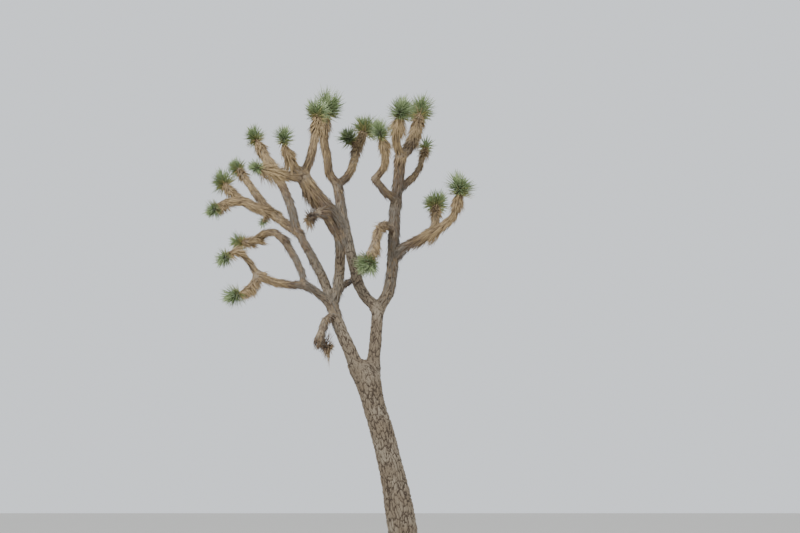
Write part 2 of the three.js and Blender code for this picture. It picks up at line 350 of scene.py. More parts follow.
@dataclass(frozen=True)
class BarkFinish:
    """Bark whose plates, furrows and dust follow the relief of the skin."""

    name: str
    plate: Colour = linear(0x655A4B)
    furrow: Colour = linear(0x31281F)
    young_plate: Colour = linear(0x6D5D47)
    young_furrow: Colour = linear(0x3A2C1F)
    dust: Colour = linear(0x827A6C)
    blotch_scale: float = 2.6
    speck_scale: float = 60.0
    fibre_size: Triple = (0.006, 0.006, 0.09)
    plate_from: Span = (0.05, 0.55)
    dusty_from: Span = (0.42, 0.7)
    dust_share: float = 0.6
    lines_from: Span = (0.6, 0.3)
    line_share: float = 0.55
    specks_from: Span = (0.55, 0.75)
    speck_share: float = 0.35
    speck_height: float = 0.6
    bump: float = 0.7
    bump_depth: float = 0.004
    roughest: float = 0.98
    smoothest: float = 0.8
    gloss: float = 0.25

    def material(self) -> Material:
        """The finished material.

        Returns:
            A material that reads the skin's relief, grain, age and object coordinates.
        """
        coat = Coating(self.name)
        height, youth, grain = (
            coat.add("ShaderNodeAttribute", {"attribute_name": name}).outputs
            for name in ("plate_height", "youth", "grain")
        )
        stretch = tuple(1.0 / size for size in self.fibre_size)
        along = coat.vectors("MULTIPLY", grain["Vector"], stretch)
        fibre = coat.noise(along, scale=1.0, detail=4.0)
        blotch = coat.noise(coat.place, self.blotch_scale, detail=5.0)
        speck = coat.noise(coat.place, self.speck_scale, detail=6.0)
        deep = coat.ramp(height["Fac"], *self.plate_from)
        old = coat.mixed(deep, self.furrow, self.plate)
        young = coat.mixed(deep, self.young_furrow, self.young_plate)
        base = coat.mixed(youth["Fac"], old, young)
        dusty = coat.maths("MULTIPLY", coat.ramp(blotch, *self.dusty_from), deep)
        worn = coat.mixed(coat.maths("MULTIPLY", dusty, self.dust_share), base, self.dust)
        shade = coat.maths("MULTIPLY", coat.ramp(fibre, *self.lines_from), self.line_share)
        lined = coat.mixed(shade, worn, self.furrow)
        pale = coat.maths("MULTIPLY", coat.ramp(speck, *self.specks_from), self.speck_share)
        spread = self.roughest - self.smoothest
        relief = coat.maths("ADD", fibre, coat.maths("MULTIPLY", speck, self.speck_height))
        bump = {"Height": relief, "Strength": self.bump, "Distance": self.bump_depth}
        coat.feed(
            coat.shader,
            Base_Color=coat.mixed(pale, lined, self.dust),
            Roughness=coat.maths("MULTIPLY_ADD", speck, spread, self.smoothest),
            Specular_IOR_Level=self.gloss,
            Normal=coat.add("ShaderNodeBump", **bump).outputs[0],
        )
        return coat.made


@dataclass(frozen=True)
class LeafFinish:
    """A plain tone of leaf, dealt out by spray, whose wax is worn and dusty in places."""

    name: str
    colour: Colour
    roughness: float
    sheen: float
    dust_scale: float = 14.0
    dust_from: Span = (0.35, 0.65)
    dulling: float = 0.1
    gloss: float = 0.4
    sheen_roughness: float = 0.5

    def material(self) -> Material:
        """The finished material.

        Returns:
            A material of one waxy or dry tone.
        """
        coat = Coating(self.name)
        worn = coat.ramp(coat.noise(coat.place, self.dust_scale, detail=5.0), *self.dust_from)
        shine = self.roughness - self.dulling
        coat.feed(
            coat.shader,
            Base_Color=(*self.colour, 1.0),
            Roughness=coat.maths("MULTIPLY_ADD", worn, 2.0 * self.dulling, shine),
            Specular_IOR_Level=self.gloss,
            Sheen_Weight=self.sheen,
            Sheen_Roughness=self.sheen_roughness,
        )
        return coat.made


class Tone(Enum):
    """The tones of the leaves, from the youngest to the longest dead."""

    YOUNG = LeafFinish("leaf_young_green", linear(0x7C8B62), 0.5, 0.1)
    GREEN = LeafFinish("leaf_dusty_green", linear(0x617149), 0.52, 0.1)
    OLIVE = LeafFinish("leaf_olive", linear(0x6C7040), 0.55, 0.1)
    FADING = LeafFinish("leaf_fading_yellow", linear(0x948B52), 0.6, 0.1)
    STRAW = LeafFinish("dead_leaf_straw", linear(0x8C7958), 0.8, 0.05)
    TAN = LeafFinish("dead_leaf_tan", linear(0x716047), 0.85, 0.05)
    BROWN = LeafFinish("dead_leaf_brown", linear(0x544537), 0.88, 0.05)
    GREY = LeafFinish("dead_leaf_grey", linear(0x60594F), 0.9, 0.05)


TONES = list(Tone)
DEAD_WOOD = BarkFinish(
    "dead_wood",
    plate=linear(0x706453),
    furrow=linear(0x3A2F26),
    young_plate=linear(0x746652),
    young_furrow=linear(0x3A2F26),
    dust=linear(0x8A7E6C),
)
BARKS = (BarkFinish("old_bark"), BarkFinish("young_bark"), DEAD_WOOD)
Finish = BarkFinish | LeafFinish


def dealt_out(shares: Array, steps: tuple[float, ...], tones: tuple[Tone, ...]) -> Array:
    """The numbers of the tones whose steps the shares lie between."""
    numbers = np.array([TONES.index(tone) for tone in tones])
    return numbers[np.digitize(shares, steps)].astype(float)


@cache
def made_of(finish: Finish) -> Material:
    """The material of a finish, which is made only once."""
    return finish.material()


class ShapeTree(Graph):
    """A geometry node tree with named inputs, and the values that they are given."""

    # A face between two finishes holds a half and takes one of them.
    BORDER = 0.51

    def __init__(self, name: str) -> None:
        """Makes the tree, with a shape going in and a shape coming out.

        Args:
            name: The tree's name.
        """
        super().__init__(bpy.data.node_groups.new(name, "GeometryNodeTree"))
        self.values: dict[str, object] = {}
        for way in ("INPUT", "OUTPUT"):
            self.tree.interface.new_socket("Geometry", in_out=way, socket_type="NodeSocketGeometry")
        self.source = self.add("NodeGroupInput")
        self.result = self.add("NodeGroupOutput")
        self.place = self.add("GeometryNodeInputPosition").outputs[0]

    def named(self, name: str, kind: str, value: object) -> NodeSocket:
        """Adds a named input.

        Args:
            name: Its name.
            kind: The kind of socket: Float, Int or Material.
            value: What it is given.

        Returns:
            The output that other nodes read.
        """
        item = self.tree.interface.new_socket(name, in_out="INPUT", socket_type=f"NodeSocket{kind}")
        self.values[item.identifier] = value
        return self.source.outputs[name]

    def attribute(self, name: str, kind: str = "FLOAT") -> NodeSocket:
        """Reads a number that is stored on the shape, or a vector."""
        node = self.add("GeometryNodeInputNamedAttribute", {"data_type": kind}, Name=name)
        return node.outputs["Attribute"]

    def vector(self, name: str) -> NodeSocket:
        """Reads a vector that is stored on the shape."""
        return self.attribute(name, "FLOAT_VECTOR")

    def stored(self, shape: NodeSocket, name: str, value: NodeSocket) -> NodeSocket:
        """Stores a number on a shape's points."""
        inputs = {"Geometry": shape, "Name": name, "Value": value}
        return self.add("GeometryNodeStoreNamedAttribute", **inputs).outputs[0]

    def moved(self, shape: NodeSocket, **how: NodeSocket) -> NodeSocket:
        """Moves a shape's points by an Offset or to a Position."""
        return self.add("GeometryNodeSetPosition", Geometry=shape, **how).outputs[0]

    def dress(self, shape: NodeSocket, key: str, finishes: dict[int, Finish]) -> None:
        """Dresses a shape and hands it out.

        Args:
            shape: The shape.
            key: The number on it that tells the finish.
            finishes: The finish for each number.
        """
        told = self.attribute(key)
        for number, finish in finishes.items():
            inputs = {
                "Geometry": shape,
                "Selection": self.maths("COMPARE", told, float(number), self.BORDER),
                "Material": self.named(finish.name, "Material", made_of(finish)),
            }
            shape = self.add("GeometryNodeSetMaterial", **inputs).outputs[0]
        self.put(self.result.inputs[0], shape)

    def apply(self, mesh: Mesh) -> Mesh:
        """The plain mesh that the tree makes of a mesh."""
        return modified(mesh, "NODES", {"node_group": self.tree}, self.values)


@dataclass(frozen=True)
class Flare:
    """The lobes of the trunk's foot, where the roots begin."""

    lobes: int = 5
    depth: float = 0.09
    height: float = 0.42

    def widen(self, out: Array, places: Array) -> Array:
        """How much wider than its mean the trunk is at these places, which lie that way out."""
        fade = np.clip(1.0 - places[:, 2] / self.height, 0.0, 1.0)
        return 1.0 + self.depth * fade * np.cos(self.lobes * np.arctan2(out[:, 1], out[:, 0]))


@dataclass
class Limb:
    """A trunk, stem, bough, branch or leafy shoot as a middle line with a thickness.

    Its arrays hold one row for each point of the line, from its foot to its end.
    """

    name: str
    slot: Slot
    points: Array
    radii: Array
    carrier: Limb | None = None
    joint: int = 0
    leafy: bool = False
    flare: Flare | None = None
    along: Array = field(init=False)
    tangents: Array = field(init=False)
    across: Array = field(init=False)
    to_leaves: Array = field(init=False)
    coat: Array = field(init=False)

    SPACING = 0.03
    MOST_SLIDE = 0.6
    LEAST_POINTS = 4
    SMOOTHINGS = 3

    def __post_init__(self) -> None:
        """Spaces the points evenly and carries a frame along them from the carrier's frame."""
        steps = np.linalg.norm(np.diff(self.points, axis=0), axis=1)
        raw = np.concatenate([[0.0], np.cumsum(steps)])
        count = max(self.LEAST_POINTS, round(raw[-1] / self.SPACING) + 1)
        even = np.linspace(0.0, raw[-1], count)
        self.points = np.stack([np.interp(even, raw, self.points[:, i]) for i in range(3)], axis=1)
        self.radii = np.interp(even, raw, self.radii)
        for _ in range(self.SMOOTHINGS):
            inner = (self.points[:-2] + 2.0 * self.points[1:-1] + self.points[2:]) / 4.0
            self.points[1:-1] = inner
        self.tangents = unit(np.gradient(self.points, axis=0))
        self.along = even + (self.carrier.along[self.joint] if self.carrier else 0.0)
        first = self.carrier.across[self.joint] if self.carrier else LEVEL
        self.across = np.empty_like(self.points)
        for i, tangent in enumerate(self.tangents):
            first = unit(first - tangent * (first @ tangent))
            self.across[i] = first
        self.to_leaves = np.full(count, 0.0 if self.leafy else np.inf)
        self.coat = np.zeros(count)

    @property
    def stem(self) -> Limb:
        """The limb that springs from the trunk and leads to this one, or the trunk itself.

        Returns:
            That limb.
        """
        limb = self
        while limb.carrier and limb.carrier.carrier:
            limb = limb.carrier
        return limb

    def spread_leaves(self) -> None:
        """Carries the distances to the leaves along the limb, both ways."""
        far, along = self.to_leaves, self.along
        down = np.minimum.accumulate((far + along)[::-1])[::-1] - along
        self.to_leaves = np.minimum(down, np.minimum.accumulate(far - along) + along)

    def tube(self, bm: bmesh.types.BMesh, sides: int) -> None:
        """Adds the limb as a closed tube.

        Args:
            bm: The mesh that takes it.
            sides: How many sides its sections have.
        """
        turns = np.arange(sides) * FULL_TURN / sides
        aside = np.cross(self.tangents, self.across)
        rings = []
        for i, middle in enumerate(self.points):
            out = np.outer(np.cos(turns), self.across[i]) + np.outer(np.sin(turns), aside[i])
            rings.append([bm.verts.new(p) for p in middle + out * self.radii[i]])
        for low, high in zip(rings, rings[1:], strict=False):
            for j in range(sides):
                k = (j + 1) % sides
                bm.faces.new((low[j], low[k], high[k], high[j]))
        bm.faces.new(list(reversed(rings[0])))
        bm.faces.new(rings[-1])

    def measure(self, places: Array) -> tuple[Array, Array, Array, Array]:
        """Where places lie about the limb.

        Args:
            places: The places, one in each row.

        Returns:
            The distance from the limb's surface, the way out from its middle line, the
            straightened place in its grain, and the nearest point's index.
        """
        squares = (self.points**2).sum(axis=1) - 2.0 * places @ self.points.T
        at = squares.argmin(axis=1)
        tangent, across = self.tangents[at], self.across[at]
        half = self.SPACING * self.MOST_SLIDE
        lowest = np.where(at == 0, 0.0, -half)
        highest = np.where(at == len(self.points) - 1, 0.0, half)
        slide = np.clip(((places - self.points[at]) * tangent).sum(axis=1), lowest, highest)
        out = places - self.points[at] - tangent * slide[:, None]
        radius = self.radii[at] + np.gradient(self.radii)[at] * slide / self.SPACING
        if self.flare:
            radius = radius * self.flare.widen(out, places)
        sideways = [(out * way).sum(axis=1) for way in (across, np.cross(tangent, across))]
        grain = np.stack([*sideways, self.along[at] + slide], axis=1)
        return np.linalg.norm(out, axis=1) - radius, unit(out), grain, at


@dataclass
class SectionReader:
    """Reads a limb's middle line and thickness from cuts through its solid."""

    step: float = 0.04
    reach: float = 2.3
    roundness: float = 1.03
    least_edges: int = 3
    least_share: float = 0.8
    most_steps: int = 200

    def cut(
        self, corners: Array, point: Array, heading: Array, within: float
    ) -> tuple[Array, float] | None:
        """The middle and the radius of one section.

        Args:
            corners: The solid's triangles.
            point: A point of the cutting plane, near the middle.
            heading: The plane's direction.
            within: How far from the point the section may reach.

        Returns:
            The section's middle and the radius of a circle of its area, or None if it is empty.
        """
        side = (corners - point) @ heading
        crossed = (side.max(axis=1) > 0) & (side.min(axis=1) <= 0)
        if not crossed.any():
            return None
        places, side = corners[crossed], side[crossed]
        ends = []
        for i, j in ((0, 1), (1, 2), (2, 0)):
            meets = (side[:, i] > 0) != (side[:, j] > 0)
            share = side[:, i] / np.where(meets, side[:, i] - side[:, j], 1.0)
            spot = places[:, i] + (places[:, j] - places[:, i]) * share[:, None]
            ends.append(np.where(meets[:, None], spot, np.nan))
        ends = np.stack(ends, axis=1)
        pairs = ends[~np.isnan(ends[..., 0])].reshape(-1, 2, 3)
        pairs = pairs[np.linalg.norm(pairs.mean(axis=1) - point, axis=1) < within]
        if len(pairs) < self.least_edges:
            return None
        lengths = np.linalg.norm(pairs[:, 1] - pairs[:, 0], axis=1)
        middle = (pairs.mean(axis=1) * lengths[:, None]).sum(axis=0) / lengths.sum()
        spokes = pairs - middle
        area = np.linalg.norm(np.cross(spokes[:, 0], spokes[:, 1]), axis=1).sum() / 2.0
        return middle, math.sqrt(area / math.pi) * self.roundness

    def follow(
        self, corners: Array, foot: Array, heading: Array, width: float
    ) -> tuple[Array, Array]:
        """The middle line of a limb from its foot to its end.

        Args:
            corners: The solid's triangles.
            foot: Where the limb starts.
            heading: The way it starts off.
            width: A guess of its radius.

        Returns:
            The middles of the whole sections, and their radii.
        """
        middles, radii = [], []
        point, within = foot + heading * self.step * 0.5, width * self.reach
        for _ in range(self.most_steps):
            found = self.cut(corners, point, heading, within)
            if found is None:
                break
            middles.append(found[0])
            radii.append(found[1])
            if len(middles) > 2:
                heading = unit(heading + unit(middles[-1] - middles[-3]))
                within = max(radii[-3:]) * self.reach
            point = middles[-1] + heading * self.step
        line, sizes = np.array(middles), np.array(radii)
        whole = np.flatnonzero(sizes > np.median(sizes) * self.least_share)
        kept = slice(whole[0], whole[-1] + 1)
        return line[kept], sizes[kept]


@dataclass
class Reading:
    """What the limbs say about a set of places, one row for each place."""

    depth: Array
    outward: Array
    growth: Array
    radius: Array
    to_leaves: Array
    coat: Array
    owner: Array
    mix: Array
    grains: Array


@dataclass
class Skeleton:
    """All limbs of the tree, each after the one that carries it."""

    limbs: list[Limb] = field(default_factory=list)
    reader: SectionReader = field(default_factory=SectionReader)
    first_cut: float = 0.002
    spots: int = 1500
    touch: float = 0.02
    heading_from: Span = (0.1, 0.35)
    tangent_steps: int = 3
    usual_radius: float = 0.09
    sunk: float = 0.03
    behind_cost: float = 0.35
    ahead_limit: float = -0.02
    rooting: float = 2.4
    straight: float = math.cos(math.radians(30.0))
    top_narrowing: float = 0.04
    top_length: float = 0.3
    blend: float = 0.016
    fork_blend: float = 0.027
    fork_height: float = 3.9
    fork_fade: float = 0.5
    reach: float = 0.16
    coat_full: float = 0.9
    coat_end: float = 2.1
    coat_depth: float = 0.014
    shoot_coat: Span = (0.75, 0.4)
    batch: int = 20000
    most_apart: float = 50.0

    def joint_near(self, point: Array, tangent: Array) -> tuple[Limb, int]:
        """Where a limb that starts at a point springs from.

        Args:
            point: The first whole section's middle.
            tangent: The way the limb leaves.

        Returns:
            The carrying limb and the index of the point on its middle line.
        """
        best, found = math.inf, (self.limbs[0], 0)
        for limb in self.limbs:
            back = point - limb.points
            behind = back @ tangent
            aside = np.linalg.norm(back - behind[:, None] * tangent, axis=1)
            cost = aside + self.behind_cost * np.abs(behind) + (behind < self.ahead_limit)
            index = int(cost.argmin())
            if cost[index] < best:
                best, found = cost[index], (limb, index)
        return found

    def nearest(self, point: Array) -> tuple[Limb, int]:
        """The limb that is nearest to a place.

        Args:
            point: The place.

        Returns:
            The limb and the index of its nearest point.
        """
        gaps = [np.linalg.norm(limb.points - point, axis=1) for limb in self.limbs]
        index = int(np.argmin([gap.min() for gap in gaps]))
        return self.limbs[index], int(gaps[index].argmin())

    def plant(self, node: Object) -> None:
        """Adds the trunk, which stands on the ground.

        Args:
            node: The trunk's solid.
        """
        corners = triangles(node.data)[1]
        width = float(np.ptp(corners[..., 1]))
        line, sizes = self.reader.follow(corners, UP * self.first_cut, UP, width)
        from_end = np.linalg.norm(line - line[-1], axis=1)
        sizes = sizes * (1.0 - self.top_narrowing * smooth_step(self.top_length, 0.0, from_end))
        line = np.vstack([line[0] - UP * (line[0][2] + self.sunk), line])
        sizes = np.concatenate([sizes[:1], sizes])
        self.limbs.append(Limb(node.name, Slot.BARK, line, sizes, flare=Flare()))

    def grow(self, node: Object, slot: Slot) -> None:
        """Adds a limb that springs from one that is already there.

        Args:
            node: The limb's solid.
            slot: Its material slot.
        """
        corners = triangles(node.data)[1]
        places = surface_spots(corners, self.spots)
        known = np.vstack([limb.points for limb in self.limbs])
        sizes = np.concatenate([limb.radii for limb in self.limbs])
        gap = (np.linalg.norm(places[:, None] - known, axis=2) - sizes).min(axis=1)
        foot = places[gap < gap.min() + self.touch].mean(axis=0)
        away = np.linalg.norm(places - foot, axis=1)
        close, far = self.heading_from
        heading = unit(places[(away > close) & (away < far)].mean(axis=0) - foot)
        line, sizes = self.reader.follow(corners, foot, heading, self.usual_radius)
        tangent = unit(line[min(self.tangent_steps, len(line) - 1)] - line[0])
        carrier, joint = self.joint_near(line[0], tangent)
        lowest = max(0, joint - int(self.rooting * carrier.radii[joint] / Limb.SPACING))
        while joint > lowest and unit(line[0] - carrier.points[joint]) @ tangent < self.straight:
            joint -= 1
        line = np.vstack([carrier.points[joint], line])
        sizes = np.concatenate([sizes[:1], sizes])
        self.limbs.append(Limb(node.name, slot, line, sizes, carrier, joint))

    def measure_leaves(self) -> None:
        """Works out how far along the wood the leaves are from every point, and the coat."""
        for limb in reversed(self.limbs):
            limb.spread_leaves()
            if limb.carrier and (limb.leafy or limb.slot is not Slot.DEAD_BARK):
                there = limb.carrier.to_leaves
                there[limb.joint] = min(there[limb.joint], limb.to_leaves[0])
        for limb in self.limbs:
            if limb.carrier:
                limb.to_leaves[0] = min(limb.to_leaves[0], limb.carrier.to_leaves[limb.joint])
            limb.spread_leaves()
            limb.coat = smooth_step(self.coat_end, self.coat_full, limb.to_leaves)
            if limb.leafy:
                limb.coat = smooth_step(*self.shoot_coat, np.linspace(0.0, 1.0, len(limb.points)))
            else:
                limb.radii = limb.radii - limb.coat * self.coat_depth

    def read(self, places: Array) -> Reading:
        """What all limbs together say about a set of places.

        Args:
            places: The places, one in each row.

        Returns:
            The smoothly joined distance and directions, and the two nearest limbs' grain.
        """
        count = len(places)
        low = smooth_step(self.fork_height + self.fork_fade, self.fork_height, places[:, 2])
        blend = self.blend + self.fork_blend * low
        # The columns: weight, way out (3), growth (3), radius, way to the leaves and coat.
        sums = np.zeros((count, 10))
        gaps = np.full((count, 2), FAR)
        owners = np.zeros((count, 2), dtype=int)
        grains = np.zeros((count, 2, 3))
        for index, limb in enumerate(self.limbs):
            margin = self.reach + limb.radii.max()
            low, high = limb.points.min(axis=0) - margin, limb.points.max(axis=0) + margin
            near = np.flatnonzero(((places > low) & (places < high)).all(axis=1))
            for part in np.array_split(near, len(near) // self.batch + 1):
                gap, out, grain, at = limb.measure(places[part])
                kept = gap < self.reach
                part, gap, out, grain, at = (x[kept] for x in (part, gap, out, grain, at))
                weight = np.exp(-gap / blend[part])[:, None]
                rows = (out, limb.tangents[at], limb.radii[at, None])
                rows += (np.minimum(limb.to_leaves[at, None], FAR), limb.coat[at, None])
                sums[part] += weight * np.hstack([np.ones_like(weight), *rows])
                first = gap < gaps[part, 0]
                second = ~first & (gap < gaps[part, 1])
                moved = part[first]
                for kept_rows in (gaps, owners, grains):
                    kept_rows[moved, 1] = kept_rows[moved, 0]
                for rank, chosen in ((0, first), (1, second)):
                    gaps[part[chosen], rank] = gap[chosen]
                    owners[part[chosen], rank] = index
                    grains[part[chosen], rank] = grain[chosen]
        total = np.maximum(sums[:, :1], 1e-12)
        means = sums / total
        apart = np.minimum((gaps[:, 1] - gaps[:, 0]) / blend, self.most_apart)
        return Reading(
            depth=-blend * np.log(total[:, 0]),
            outward=unit(means[:, 1:4]),
            growth=unit(means[:, 4:7]),
            radius=means[:, 7],
            to_leaves=means[:, 8],
            coat=means[:, 9],
            owner=owners[:, 0],
            mix=1.0 / (1.0 + np.exp(apart)),
            grains=grains,
        )


@dataclass
class PlateRelief:
    """The furrowed plates of the bark, as a node tree that moves the skin."""

    plate_width: float = 0.055
    plate_length: float = 0.15
    furrow_depth: float = 0.02
    crumble: float = 0.006
    seed: float = 4.0
    wobble_scale: float = 0.55
    wobble: float = 2.2
    crack_scales: Span = (1.0, 2.3)
    crack_widths: Span = (0.22, 0.3)
    crack_shares: Span = (0.72, 0.28)
    ridge_stretch: Colour = (0.9, 0.9, 0.3)
    ridge_width: float = 0.045
    ridge_share: float = 0.5
    crumble_scale: float = 22.0
    flush: float = 0.7

    def plates(self, tree: ShapeTree, grain: NodeSocket) -> NodeSocket:
        """The height of the bark in one limb's grain.

        Args:
            tree: The tree that takes the nodes.
            grain: The straightened place in the limb's grain.

        Returns:
            The height from 0 in a furrow to 1 on a plate.
        """
        wide, long, seed = (tree.source.outputs[n] for n in ("Plate Width", "Plate Length", "Seed"))
        cells = tree.vectors("DIVIDE", grain, tree.combined(wide, wide, long))
        cells = tree.vectors("ADD", cells, tree.combined(seed, seed, seed))
        wobble = tree.noise(cells, self.wobble_scale, 3.0, output="Color")
        moved = tree.vectors("ADD", cells, tree.scaled(wobble, self.wobble))
        heights = []
        for scale, edge in zip(self.crack_scales, self.crack_widths, strict=True):
            settings = {"feature": "DISTANCE_TO_EDGE"}
            cracks = tree.add("ShaderNodeTexVoronoi", settings, Vector=moved, Scale=scale)
            heights.append(tree.ramp(cracks.outputs["Distance"], 0.0, edge))
        stretched = tree.vectors("MULTIPLY", cells, self.ridge_stretch)
        waves = tree.maths("SUBTRACT", tree.noise(stretched, scale=1.0, detail=2.0), 0.5)
        ridge = tree.ramp(tree.maths("ABSOLUTE", waves), 0.0, self.ridge_width)
        small = tree.maths("MULTIPLY", heights[1], self.crack_shares[1])
        plate = tree.maths("MULTIPLY_ADD", heights[0], self.crack_shares[0], small)
        ridged = tree.maths("MULTIPLY_ADD", ridge, self.ridge_share, 1.0 - self.ridge_share)
        return tree.maths("MULTIPLY", plate, ridged)

    def apply(self, mesh: Mesh) -> Mesh:
        """Cuts the relief into a skin.

        Args:
            mesh: The skin, with its grain stored.

        Returns:
            The skin with its plates, and their height stored.
        """
        tree = ShapeTree("plate_relief")
        tree.named("Plate Width", "Float", self.plate_width)
        tree.named("Plate Length", "Float", self.plate_length)
        depth = tree.named("Furrow Depth", "Float", self.furrow_depth)
        crumble = tree.named("Crumble", "Float", self.crumble)
        tree.named("Seed", "Float", self.seed)
        first, second = (self.plates(tree, tree.vector(name)) for name in ("grain", "second_grain"))
        step = tree.maths("SUBTRACT", second, first)
        height = tree.maths("MULTIPLY_ADD", step, tree.attribute("fork_mix"), first)
        rough = tree.noise(tree.place, self.crumble_scale, detail=4.0)
        rough = tree.maths("SUBTRACT", rough, 0.5)
        lift = tree.maths("MULTIPLY", tree.maths("SUBTRACT", height, self.flush), depth)
        lift = tree.maths("MULTIPLY_ADD", rough, crumble, lift)
        lift = tree.maths("MULTIPLY", lift, tree.attribute("rugged"))
        shape = tree.stored(tree.source.outputs["Geometry"], "plate_height", height)
        shape = tree.moved(shape, Offset=tree.scaled(tree.vector("outward"), lift))
        shape = tree.moved(shape, Position=tree.vectors("MAXIMUM", tree.place, LOWEST))
        shape = tree.add("GeometryNodeRealizeInstances", Geometry=shape).outputs[0]
        tree.dress(shape, "kind", dict(enumerate(BARKS)))
        return tree.apply(mesh)


@dataclass
class Skin:
    """One bark skin over all limbs, with smooth forks, cut into pieces by limb."""

    skeleton: Skeleton
    relief: PlateRelief = field(default_factory=PlateRelief)
    grid: float = 0.0105
    sides: int = 14
    wraps: int = 2
    settlings: int = 2
    most_move: float = 0.05
    foot_height: float = 0.1
    youngest: float = 0.5
    oldest: float = 2.6
    rugged_from: Span = (0.06, 0.17)
    least_rugged: float = 0.4
    coat_calming: float = 0.35
    whole: Mesh = field(init=False)
    reading: Reading = field(init=False)

    def draw(self) -> None:
        """Draws closed tubes over the limbs."""
        bm = bmesh.new()
        for limb in self.skeleton.limbs:
            limb.tube(bm, self.sides)
        self.whole = bpy.data.meshes.new("tubes")
        bm.to_mesh(self.whole)
        bm.free()

    def wrap(self) -> None:
        """Draws one even skin around what is there, which also heals folds in the forks."""
        self.whole = modified(self.whole, "REMESH", {"mode": "VOXEL", "voxel_size": self.grid})

    def settle(self) -> None:
        """Moves the skin onto the smoothly joined surface of the limbs."""
        places = read_all(self.whole.vertices, "co", float, 3)
        for _ in range(self.settlings):
            reading = self.skeleton.read(places)
            move = np.clip(reading.depth, -self.most_move, self.most_move)
            places -= reading.outward * move[:, None]
        put_places(self.whole, places)

    def level(self) -> None:
        """Cuts the foot off flat at the ground."""
        bm = bmesh.new()
        bm.from_mesh(self.whole)
        low = [v for v in bm.verts if v.co.z < self.foot_height]
        edges = {edge for v in low for edge in v.link_edges}
        faces = {face for v in low for face in v.link_faces}
        plane = {"plane_co": (0.0, 0.0, 0.0), "plane_no": (0.0, 0.0, 1.0)}
        cut = bmesh.ops.bisect_plane(bm, geom=[*low, *edges, *faces], clear_inner=True, **plane)
        rim = [part for part in cut["geom_cut"] if isinstance(part, bmesh.types.BMEdge)]
        bmesh.ops.holes_fill(bm, edges=rim)
        bm.to_mesh(self.whole)
        bm.free()

    def mark(self) -> None:
        """Stores what the relief and the finish read."""
        mesh = self.whole
        self.reading = reading = self.skeleton.read(read_all(mesh.vertices, "co", float, 3))
        kinds = np.array([WOOD.index(limb.slot) for limb in self.skeleton.limbs], dtype=float)
        put_values(mesh, "outward", reading.outward)
        put_values(mesh, "grain", reading.grains[:, 0])
        put_values(mesh, "second_grain", reading.grains[:, 1])
        put_values(mesh, "fork_mix", reading.mix)
        put_values(mesh, "kind", kinds[reading.owner])
        put_values(mesh, "youth", smooth_step(self.oldest, self.youngest, reading.to_leaves))
        thick = smooth_step(*self.rugged_from, reading.radius)
        rugged = self.least_rugged + (1.0 - self.least_rugged) * thick
        put_values(mesh, "rugged", rugged * (1.0 - self.coat_calming * reading.coat))

    def build(self) -> None:
        """Makes the whole skin with its relief."""
        self.draw()
        for _ in range(self.wraps):
            self.wrap()
            self.settle()
        self.level()
        self.mark()
        self.whole = self.relief.apply(self.whole)
        LOG.info("skin of %d faces", len(self.whole.polygons))

    def part_of(self, limb: Limb) -> str:
        """The piece that a limb's skin belongs to.

        Args:
            limb: The limb.

        Returns:
            The piece's name.
        """
        if limb.slot is Slot.DEAD_BARK:
            return "dead_wood"
        if limb is limb.stem:
            return "bark_trunk"
        side = limb.stem.name.removeprefix("stem_")
        return f"bark_boughs_{side}" if limb.slot is Slot.BARK else f"young_bark_{side}"

    def pieces(self) -> None:
        """Cuts the skin into its pieces, which stand for their limbs."""
        mesh, limbs = self.whole, self.skeleton.limbs
        names = np.array([self.part_of(limb) for limb in limbs])
        starts = read_all(mesh.polygons, "loop_start", np.int32)
        corners = read_all(mesh.loops, "vertex_index", np.int32)
        face_part = names[self.reading.owner[corners[starts]]]
        for name in sorted(set(names.tolist())):
            own = [limb for limb, part in zip(limbs, names, strict=True) if part == name]
            piece = self.cut_out(name, face_part == name, starts, corners)
            nodes = [limb.name for limb in own if not limb.leafy]
            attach(piece, BODY)
            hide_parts(*nodes)
            LOG.info("%s: %d faces for %d limbs", name, len(piece.data.polygons), len(nodes))

    def cut_out(self, name: str, chosen: Array, starts: Array, corners: Array) -> Object:
        """One piece of the skin.

        Args:
            name: The piece's name.
            chosen: Which faces belong to it.
            starts: Each face's first corner.
            corners: The vertex at each corner.

        Returns:
            The piece as an object.
        """
        whole = self.whole
        sizes = np.diff(np.append(starts, len(corners)))[chosen]
        firsts = np.append(0, np.cumsum(sizes)[:-1])
        offsets = np.repeat(starts[chosen] - firsts, sizes)
        used, order = np.unique(corners[np.arange(sizes.sum()) + offsets], return_inverse=True)
        mesh = bpy.data.meshes.new(name)
        mesh.vertices.add(len(used))
        mesh.loops.add(len(order))
        mesh.polygons.add(len(sizes))
        write_all(mesh.vertices, "co", read_all(whole.vertices, "co", float, 3)[used])
        write_all(mesh.loops, "vertex_index", order, np.int32)
        write_all(mesh.polygons, "loop_start", firsts, np.int32)
        mesh.update(calc_edges=True)
        for layer, width in (("plate_height", 1), ("youth", 1), ("grain", 3)):
            key = "value" if width == 1 else "vector"
            values = read_all(whole.attributes[layer].data, key, np.float32, width)
            put_values(mesh, layer, values[used])
        mesh.shade_smooth()
        normals = read_all(whole.vertex_normals, "vector", np.float32, 3)
        mesh.normals_split_custom_set_from_vertices(normals[used])
        kinds = read_all(whole.polygons, "material_index", np.int32)[chosen]
        for index in np.unique(kinds):
            mesh.materials.append(whole.materials[int(index)])
        dressed = np.searchsorted(np.unique(kinds), kinds)
        write_all(mesh.polygons, "material_index", dressed, np.int32)
        return shown(name, mesh)


